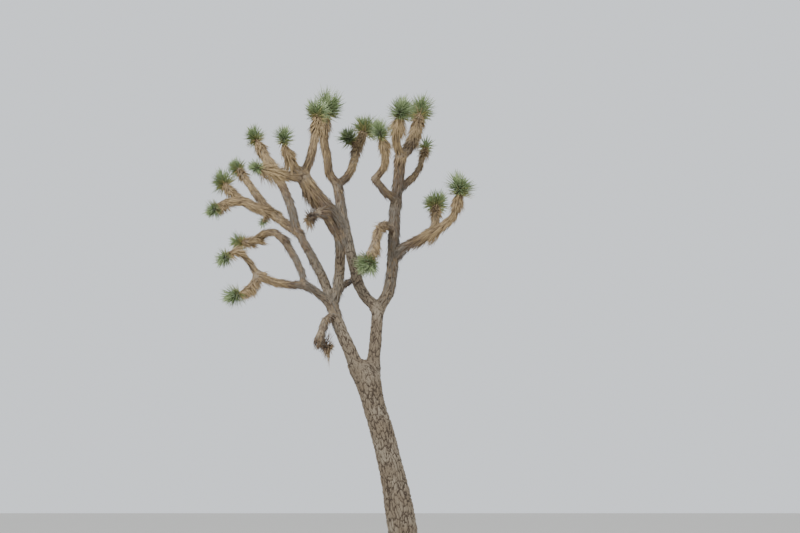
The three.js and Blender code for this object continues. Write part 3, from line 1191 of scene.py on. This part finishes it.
@dataclass
class LeafRows:
    """Leaves before they are made, one row for each, gathered spray by spray.

    After its foot a row holds the way the leaf points, the way its flat side faces, how far its
    tip is bent aside, its length, its width at the foot and its tone's number.
    """

    name: str
    rows: list[Array] = field(default_factory=list)

    LAYOUT = {"way": 3, "flat": 3, "bend": 3, "length": 1, "width": 1, "tone": 1}

    def add(self, feet: Array, kept: Array | slice = slice(None), **columns: Array) -> None:
        """Adds a spray of leaves, or those of it that are kept, by the names of the layout."""
        parts = [columns[name].reshape(len(feet), width) for name, width in self.LAYOUT.items()]
        self.rows.append(np.hstack([feet, *parts])[kept])

    def points(self) -> Mesh:
        """A mesh with a bare point for each leaf, which holds the leaf's sizes.

        Returns:
            The mesh.
        """
        rows = np.vstack(self.rows)
        mesh = bpy.data.meshes.new(f"{self.name}_feet")
        mesh.vertices.add(len(rows))
        put_places(mesh, rows[:, :3])
        column = 3
        for name, width in self.LAYOUT.items():
            values = rows[:, column : column + width]
            put_values(mesh, name, values if width == 3 else values[:, 0])
            column += width
        return mesh


@dataclass
class LeafMaker:
    """Makes stiff dagger leaves on points, as a node tree.

    A leaf is a closed blade of three sides that stays broad and then runs out to its tip.
    """

    rings: int
    fullness: float
    thickness: float = 0.45
    sides: int = 3
    least_left: float = 0.001

    def blade(self, tree: ShapeTree) -> NodeSocket:
        """One straight blade of length and width one, which stands on the origin.

        Args:
            tree: The tree that takes the nodes.

        Returns:
            The blade, with the share of its length stored as reach.
        """
        fullness = tree.named("Fullness", "Float", self.fullness)
        cone = tree.add(
            "GeometryNodeMeshCone",
            {"fill_type": "NGON"},
            Vertices=tree.named("Sides", "Int", self.sides),
            Side_Segments=tree.named("Rings", "Int", self.rings),
            Radius_Top=0.0,
            Radius_Bottom=0.5,
            Depth=1.0,
        )
        up = tree.add("ShaderNodeSeparateXYZ", Vector=tree.place).outputs[2]
        stored = tree.stored(cone.outputs["Mesh"], "reach", up)
        full = tree.maths("SUBTRACT", 1.0, tree.maths("POWER", up, fullness))
        left = tree.maths("MAXIMUM", tree.maths("SUBTRACT", 1.0, up), self.least_left)
        swell = tree.maths("DIVIDE", full, left)
        broad = tree.vectors("MULTIPLY", tree.place, tree.combined(swell, swell, 1.0))
        return tree.moved(stored, Position=broad)

    def tree(self, rows: LeafRows) -> ShapeTree:
        """The node tree that turns leaf rows into leaves.

        Args:
            rows: The leaves.

        Returns:
            The tree, ready for the rows' points.
        """
        tree = ShapeTree(rows.name)
        blade = self.blade(tree)
        turned = tree.add(
            "FunctionNodeAxesToRotation",
            {"primary_axis": "Z", "secondary_axis": "Y"},
            Primary_Axis=tree.vector("way"),
            Secondary_Axis=tree.vector("flat"),
        )
        width = tree.attribute("width")
        thick = tree.maths("MULTIPLY", width, tree.named("Thickness", "Float", self.thickness))
        leaves = tree.add(
            "GeometryNodeInstanceOnPoints",
            Points=tree.source.outputs["Geometry"],
            Instance=blade,
            Rotation=turned.outputs[0],
            Scale=tree.combined(width, thick, tree.attribute("length")),
        )
        real = tree.add("GeometryNodeRealizeInstances", Geometry=leaves.outputs[0]).outputs[0]
        reach = tree.attribute("reach")
        bent = tree.scaled(tree.vector("bend"), tree.maths("MULTIPLY", reach, reach))
        numbers = np.unique(np.vstack(rows.rows)[:, -1]).astype(int)
        tones = {int(number): TONES[number].value for number in numbers}
        tree.dress(tree.moved(real, Offset=bent), "tone", tones)
        return tree

    def make(self, rows: LeafRows, slot: Slot, nodes: Iterable[str]) -> None:
        """Makes a piece of leaves.

        Args:
            rows: The leaves.
            slot: The piece's material slot, which is not used.
            nodes: The solids that it stands for.
        """
        mesh = self.tree(rows).apply(rows.points())
        for layer in ("reach", *LeafRows.LAYOUT):
            mesh.attributes.remove(mesh.attributes[layer])
        piece = shown(rows.name, mesh)
        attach(piece, BODY)
        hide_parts(*nodes)
        LOG.info("%s: %d faces", rows.name, len(mesh.polygons))


@dataclass(frozen=True)
class ShootRule:
    """How a limb's end divides into leafy shoots inside a head."""

    room: float = 0.17
    most: int = 4
    spread: float = math.radians(62.0)
    leans: Span = (0.8, 1.15)
    scatter: float = 0.3
    depth: float = 0.42
    lone_depth: float = 0.3
    lengths: Span = (0.85, 1.1)
    foot_radius: float = 0.042
    tip_radius: float = 0.022
    points: int = 12

    def count(self, size: float) -> int:
        """How many shoots a head of that size holds."""
        return int(np.clip(round((size / self.room) ** 2), 1, self.most))


@dataclass
class LeafHead:
    """A ball of stiff leaves at a limb's end, or a hanging tuft of dead ones.

    The leaves stand in a golden spiral on the shoots and reach out to the head's solid. Leans are
    in degrees, and scatters are standard deviations.
    """

    node: Object
    rng: np.random.Generator
    rule: ShootRule = field(default_factory=ShootRule)
    spots: int = 1200
    end_points: int = 4
    leaves_per_area: float = 740.0
    least_length: float = 0.08
    most_length: float = 0.36
    lengths: Span = (0.72, 1.26)
    width: float = 0.022
    widths: Span = (0.85, 1.2)
    foot_depth: float = 0.5
    open_reach: float = 0.8
    leafy_part: float = 0.9
    most_leafy: float = 0.92
    widest: float = math.radians(128.0)
    dead_lean: float = 70.0
    dead_lean_growth: float = 90.0
    dead_droops: Span = (0.2, 0.9)
    turn_scatter: float = 0.15
    lean_scatter: float = 9.0
    flat_scatter: float = 0.15
    bends: Span = (-0.05, 0.08)
    tone_scatter: float = 0.1
    tone_steps: tuple[float, ...] = (0.22, 0.6, 0.86, 0.96)
    dead_steps: Span = (0.3, 0.65)
    spear: int = 4
    spear_growth: float = 1.25
    centre: Array = field(init=False)
    size: float = field(init=False)
    surface: BVHTree = field(init=False)
    axis: Array = field(init=False)
    shoots: list[Limb] = field(default_factory=list)

    def __post_init__(self) -> None:
        """Reads the head's middle, its size and its surface from its solid."""
        corners = triangles(self.node.data)[1]
        spots = surface_spots(corners, self.spots)
        self.centre = spots.mean(axis=0)
        self.size = float(np.linalg.norm(spots - self.centre, axis=1).mean())
        places = [Vector(p) for p in corners.reshape(-1, 3)]
        faces = np.arange(len(places)).reshape(-1, 3).tolist()
        self.surface = BVHTree.FromPolygons(places, faces)

    @property
    def dead(self) -> bool:
        """Whether this is a tuft of dead leaves."""
        return self.node.name.startswith("tuft")

    @property
    def stem(self) -> str:
        """The name of the stem that leads to the head."""
        return self.shoots[0].stem.name

    def branch(self, skeleton: Skeleton) -> None:
        """Grows the head's shoots from the limb that carries it.

        Args:
            skeleton: The limbs, which take the shoots.
        """
        rule, rng = self.rule, self.rng
        limb, joint = skeleton.nearest(self.centre)
        start = limb.points[joint]
        self.axis = axis = unit(self.centre - start)
        at_end = joint > len(limb.points) - self.end_points
        heading = unit(limb.tangents[joint] + axis) if at_end else axis
        count = rule.count(self.size)
        level = unit(np.cross(axis, UP))
        raised = np.cross(axis, level)
        turn = rng.uniform(0.0, FULL_TURN)
        for i in range(count):
            lean = rule.spread * rng.uniform(*rule.leans) if count > 1 else 0.0
            around = turn + i * FULL_TURN / count + rng.uniform(-rule.scatter, rule.scatter)
            aside = math.cos(around) * level + math.sin(around) * raised
            way = math.cos(lean) * axis + math.sin(lean) * aside
            reach = self.size * (rule.depth if count > 1 else rule.lone_depth)
            goal = self.centre + way * reach * rng.uniform(*rule.lengths)
            bulge = start + heading * np.linalg.norm(goal - start) * 0.5
            t = np.linspace(0.0, 1.0, rule.points)[:, None]
            line = (1 - t) ** 2 * start + 2 * t * (1 - t) * bulge + t * t * goal
            radii = np.linspace(rule.foot_radius, rule.tip_radius, rule.points)
            name = f"shoot_{self.node.name}_{i}"
            slot = Slot.DEAD_BARK if self.dead else Slot.YOUNG_BARK
            self.shoots.append(Limb(name, slot, line, radii, limb, joint, leafy=True))
        skeleton.limbs.extend(self.shoots)

    def reaches(self, feet: Array, ways: Array) -> Array:
        """How far leaves can grow before they pass the head's solid.

        Args:
            feet: Where the leaves start.
            ways: Which way they point.

        Returns:
            The free length of each leaf.
        """
        free = []
        for foot, way in zip(feet, ways, strict=True):
            hit = self.surface.ray_cast(Vector(foot), Vector(way))
            free.append(hit[3] if hit[0] else self.size * self.open_reach)
        return np.array(free)

    def dress(self, rows: LeafRows, sparse: float = 1.0) -> None:
        """Sets the leaves on the shoots.

        Args:
            rows: Takes the leaves.
            sparse: The share of the usual number of leaves.
        """
        area = 2.0 * FULL_TURN * self.size**2
        count = int(area * self.leaves_per_area * sparse / len(self.shoots))
        for shoot in self.shoots:
            self.dress_shoot(rows, shoot, count)

    def dress_shoot(self, rows: LeafRows, shoot: Limb, count: int) -> None:
        """Sets a spiral of leaves on one shoot.

        Args:
            rows: Takes the leaves.
            shoot: The shoot.
            count: How many leaves.
        """
        rng = self.rng
        share = (np.arange(count) + 0.5) / count
        leafy = min(self.most_leafy, self.leafy_part * self.size / np.ptp(shoot.along))
        place = (1.0 - leafy * share) * (len(shoot.points) - 1)
        low = np.floor(place).astype(int)
        high = np.minimum(low + 1, len(shoot.points) - 1)
        part = (place - low)[:, None]
        middle = shoot.points[low] * (1 - part) + shoot.points[high] * part
        axis, across = shoot.tangents[low], shoot.across[low]
        turn = np.arange(count) * GOLDEN_TURN + rng.normal(0.0, self.turn_scatter, count)
        turn = turn[:, None]
        radial = np.cos(turn) * across + np.sin(turn) * np.cross(axis, across)
        lean = np.arccos(1.0 - share * (1.0 - math.cos(self.widest)))
        if self.dead:
            lean = np.radians(self.dead_lean + self.dead_lean_growth * share)
        lean = np.abs(lean + np.radians(rng.normal(0.0, self.lean_scatter, count)))
        ways = np.cos(lean)[:, None] * axis + np.sin(lean)[:, None] * radial
        if self.dead:
            ways = unit(ways - UP * rng.uniform(*self.dead_droops, count)[:, None])
        feet = middle + radial * shoot.radii[low, None] * self.foot_depth
        free = self.reaches(feet, ways) * rng.uniform(*self.lengths, count)
        lengths = np.clip(free, self.least_length, self.most_length)
        lengths[: self.spear] *= self.spear_growth
        widths = self.width * rng.uniform(*self.widths, count)
        flats = np.cross(ways, np.cross(axis, ways))
        flats = unit(flats + rng.normal(0.0, self.flat_scatter, (count, 3)))
        bends = axis * (lengths * rng.uniform(*self.bends, count))[:, None]
        tips = unit(feet + ways * lengths[:, None] - self.centre)
        kept = (tips @ self.axis > math.cos(self.widest)) | self.dead
        sizes = {"length": lengths, "width": widths, "tone": self.tones(share)}
        rows.add(feet, kept, way=ways, flat=flats, bend=bends, **sizes)

    def tones(self, share: Array) -> Array:
        """Deals tones to a spiral of leaves, the oldest at its foot.

        Args:
            share: Each leaf's place in the spiral, 0 at the tip and 1 at the foot.

        Returns:
            The tones' numbers.
        """
        dealt = share + self.rng.normal(0.0, self.tone_scatter, len(share))
        if self.dead:
            return dealt_out(dealt, self.dead_steps, (Tone.TAN, Tone.BROWN, Tone.GREY))
        tones = (Tone.YOUNG, Tone.GREEN, Tone.OLIVE, Tone.FADING, Tone.STRAW)
        return dealt_out(dealt, self.tone_steps, tones)


@dataclass(frozen=True)
class Shag:
    """A place on the limbs where the dead leaves are longer, stand off and hang.

    Where the growth is below zero they are shorter and lie close.
    """

    place: Triple
    radius: float
    growth: float
    whole_within: float = 0.4

    def share(self, feet: Array) -> Array:
        """How much longer the leaves with these feet are, as a share of their length."""
        gap = np.linalg.norm(feet - self.place, axis=1)
        return self.growth * smooth_step(self.radius, self.radius * self.whole_within, gap)


SHAGS = (
    Shag((-1.45, -0.75, 6.02), 0.22, 0.9),
    Shag((-1.58, -0.88, 6.16), 0.16, 0.7),
    Shag((-0.52, -0.55, 6.5), 0.24, -0.6),
    Shag((-0.14, -0.42, 7.36), 0.2, 0.55),
    Shag((0.03, 0.36, 7.46), 0.2, 0.6),
    Shag((-0.03, 0.18, 7.26), 0.15, 0.6),
    Shag((0.12, 0.28, 7.29), 0.12, 0.6),
    Shag((-2.38, 0.12, 5.6), 0.12, 0.5),
    Shag((-2.32, -1.03, 4.68), 0.12, 0.3),
    Shag((-2.25, -1.4, 6.34), 0.17, 0.8),
    Shag((-2.06, -1.33, 6.32), 0.17, 0.8),
    Shag((-0.51, -0.47, 5.39), 0.12, 0.6),
    Shag((-0.06, -0.01, 5.42), 0.15, 0.4),
    Shag((0.2, -0.16, 5.53), 0.15, 0.4),
    Shag((0.41, -0.29, 5.62), 0.15, 0.6),
    Shag((-2.29, 0.7, 7.11), 0.13, 0.9),
    Shag((-1.83, -1.22, 6.52), 0.1, 0.9),
)


@dataclass
class DeadCoat:
    """The coat of dead leaves that hangs back along the limbs below the heads.

    Splays are in degrees, and droops are how far the leaves sink for a length of one.
    """

    skin: Skin
    rng: np.random.Generator
    per_area: float = 2700.0
    lengths: Span = (0.09, 0.17)
    width: float = 0.016
    widths: Span = (0.8, 1.25)
    near_head: float = 0.16
    withered_near: float = 0.4
    under_from: Span = (0.2, 0.9)
    level_from: Span = (0.9, 0.4)
    hanging_from: Span = (0.2, 0.8)
    splays: Span = (2.0, 14.0)
    head_splay: float = 26.0
    shag_splay: float = 24.0
    droop: float = 0.02
    under_droop: float = 0.03
    shag_droop: float = 0.3
    hanging_droop: float = 1.9
    hanging_loss: float = 0.25
    way_scatter: float = 0.08
    flat_scatter: float = 0.3
    least_out: float = 0.06
    sunk: float = 0.006
    bends: Span = (-0.12, 0.06)
    patch: Triple = (7.1, 5.3, 6.2)
    patch_share: float = 0.35
    tone_scatter: float = 0.4
    age_length: float = 1.8
    oldest: float = 3.0
    withered_age: float = 1.4
    tone_ages: Triple = (0.3, 1.1, 1.8)

    def spread(self, groups: dict[str, LeafRows]) -> None:
        """Sets the dead leaves on the skin.

        Args:
            groups: Takes the leaves, by the name of the stem that they hang on.
        """
        rng, reading, limbs = self.rng, self.skin.reading, self.skin.skeleton.limbs
        order, corners = triangles(self.skin.whole)
        wanted = areas_of(corners) * reading.coat[order].mean(axis=1) * self.per_area
        chosen = np.flatnonzero(rng.random(len(wanted)) < wanted)
        feet = spots_in(corners[chosen], rng)
        nearest, count = order[chosen, 0], len(chosen)
        out, growth = reading.outward[nearest], reading.growth[nearest]
        to_leaves, owner = reading.to_leaves[nearest], reading.owner[nearest]
        withered = np.array([limb.slot is Slot.DEAD_BARK for limb in limbs])[owner]
        near = smooth_step(self.near_head, 0.0, to_leaves)
        near *= np.where(withered, self.withered_near, 1.0)
        under = smooth_step(*self.under_from, -out[:, 2])
        under *= smooth_step(*self.level_from, np.abs(growth[:, 2]))
        hanging = smooth_step(*self.hanging_from, -growth[:, 2])
        growths = np.array([one.share(feet) for one in SHAGS])
        shag = growths.max(axis=0) + growths.min(axis=0)
        splay = rng.uniform(*self.splays, count) + self.head_splay * near + under
        splay = np.radians(splay + self.shag_splay * shag)
        ways = -growth * np.cos(splay)[:, None] + out * np.sin(splay)[:, None]
        droop = self.droop + self.under_droop * under + self.shag_droop * shag
        droop += self.hanging_droop * hanging
        ways = unit(ways - UP * droop[:, None] + rng.normal(0, self.way_scatter, (count, 3)))
        short = np.maximum(self.least_out - (ways * out).sum(axis=1), 0.0)
        ways = unit(ways + out * short[:, None])
        lengths = rng.uniform(*self.lengths, count) * (1.0 + shag - self.hanging_loss * hanging)
        widths = self.width * rng.uniform(*self.widths, count)
        bends = out * (rng.uniform(*self.bends, count) * lengths)[:, None]
        age = smooth_step(0.0, self.age_length, to_leaves) * self.oldest
        age += self.patch_share * np.sin(feet @ np.array(self.patch))
        age += rng.normal(0.0, self.tone_scatter, count) + self.withered_age * withered
        tones = dealt_out(age, self.tone_ages, (Tone.STRAW, Tone.TAN, Tone.BROWN, Tone.GREY))
        stem = np.array([limb.stem.name for limb in limbs])[owner]
        for name, rows in groups.items():
            own = stem == name
            flats = unit(out[own] + rng.normal(0.0, self.flat_scatter, (own.sum(), 3)))
            sizes = {"length": lengths[own], "width": widths[own], "tone": tones[own]}
            inside = feet[own] - out[own] * self.sunk
            rows.add(inside, way=ways[own], flat=flats, bend=bends[own], **sizes)


@dataclass
class Studio:
    """The plain floor, the soft lights and the camera at the photograph's viewing angle.

    A light has its name, its place, its width and its power in watts.
    """

    eye: Triple = (-0.162, -19.0, 1.5)
    pitch: float = math.radians(10.93)
    lens: float = 56.25
    farthest: float = 1000.0
    floor_size: float = 700.0
    floor_tones: tuple[Colour, Colour] = (linear(0xCFCBC4), linear(0xD8D5CF))
    crown: Triple = (-1.0, 0.0, 4.5)
    lights: tuple[tuple, ...] = (
        ("key_light", (-9.0, -13.0, 15.0), 7.0, 5200.0),
        ("fill_light", (12.0, -10.0, 8.0), 10.0, 1500.0),
        ("back_light", (5.0, 14.0, 13.0), 9.0, 3000.0),
    )
    sky: Colour = (0.87, 0.91, 0.96)
    sky_strength: float = 1.1

    def floor(self) -> None:
        """Lays a wide pale floor."""
        half = self.floor_size / 2.0
        mesh = bpy.data.meshes.new("floor")
        corners = [(-half, -half, 0), (half, -half, 0), (half, half, 0), (-half, half, 0)]
        mesh.from_pydata(corners, [], [(0, 1, 2, 3)])
        coat = Coating("pale_floor")
        clouds = coat.noise(coat.place, scale=0.6, detail=4.0)
        tone = coat.mixed(clouds, *self.floor_tones)
        coat.feed(coat.shader, Base_Color=tone, Roughness=0.9)
        mesh.materials.append(coat.made)
        shown("floor", mesh)

    def light(self, name: str, place: Triple, size: float, power: float) -> None:
        """Adds a soft light that faces the crown.

        Args:
            name: The light's name.
            place: Where it hangs.
            size: How wide it is.
            power: Its power in watts.
        """
        lamp = bpy.data.lights.new(name, "AREA")
        lamp.shape = "DISK"
        lamp.size = size
        lamp.energy = power
        made = shown(name, lamp)
        made.location = place
        aim = Vector(self.crown) - Vector(place)
        made.rotation_euler = aim.to_track_quat("-Z", "Y").to_euler()

    def set_up(self) -> None:
        """Builds the studio."""
        self.floor()
        for row in self.lights:
            self.light(*row)
        world = bpy.data.worlds.new("studio")
        world.use_nodes = True
        background = world.node_tree.nodes["Background"]
        Graph(world.node_tree).feed(background, Color=(*self.sky, 1.0), Strength=self.sky_strength)
        bpy.context.scene.world = world
        camera = bpy.data.cameras.new("camera")
        camera.lens = self.lens
        camera.clip_end = self.farthest
        made = shown("camera", camera)
        made.location = self.eye
        made.rotation_euler = (math.pi / 2.0 + self.pitch, 0.0, 0.0)
        bpy.context.scene.camera = made


SPARSE = {"head_right_small": 0.35, "head_left_under": 0.55}
LEAF_MAKERS = {
    Slot.LEAVES: LeafMaker(rings=3, fullness=1.6),
    Slot.DEAD_LEAVES: LeafMaker(rings=2, fullness=1.7),
}


def main() -> None:
    """Builds the tree, its leaves and the studio."""
    for extra in list(bpy.data.objects):
        bpy.data.objects.remove(extra)
    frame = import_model()
    Studio().set_up()
    skeleton = Skeleton()
    heads = []
    for row in frame["record"]["subparts"]:
        node, slot = frame["nodes"][row["node"]], Slot(row["material_slot"])
        if slot not in WOOD:
            heads.append(LeafHead(node, np.random.default_rng(HEAD_SEED + len(heads))))
        elif skeleton.limbs:
            skeleton.grow(node, slot)
        else:
            skeleton.plant(node)
    for head in heads:
        head.branch(skeleton)
        LOG.info("%s: size %.3f, %d shoots", head.node.name, head.size, len(head.shoots))
    skeleton.measure_leaves()
    skin = Skin(skeleton)
    skin.build()
    skin.pieces()
    for slot, maker in LEAF_MAKERS.items():
        withered = slot is Slot.DEAD_LEAVES
        own = [head for head in heads if head.dead is withered]
        groups = {f"stem_{side}": LeafRows(f"{slot.value}_{side}") for side in ("left", "right")}
        for head in own:
            head.dress(groups[head.stem], SPARSE.get(head.node.name, 1.0))
        if withered:
            DeadCoat(skin, np.random.default_rng(COAT_SEED)).spread(groups)
        for stem, rows in groups.items():
            maker.make(rows, slot, [head.node.name for head in own if head.stem == stem])


if __name__ == "__main__":
    logging.basicConfig(level=logging.INFO, format="%(name)s: %(message)s")
    main()
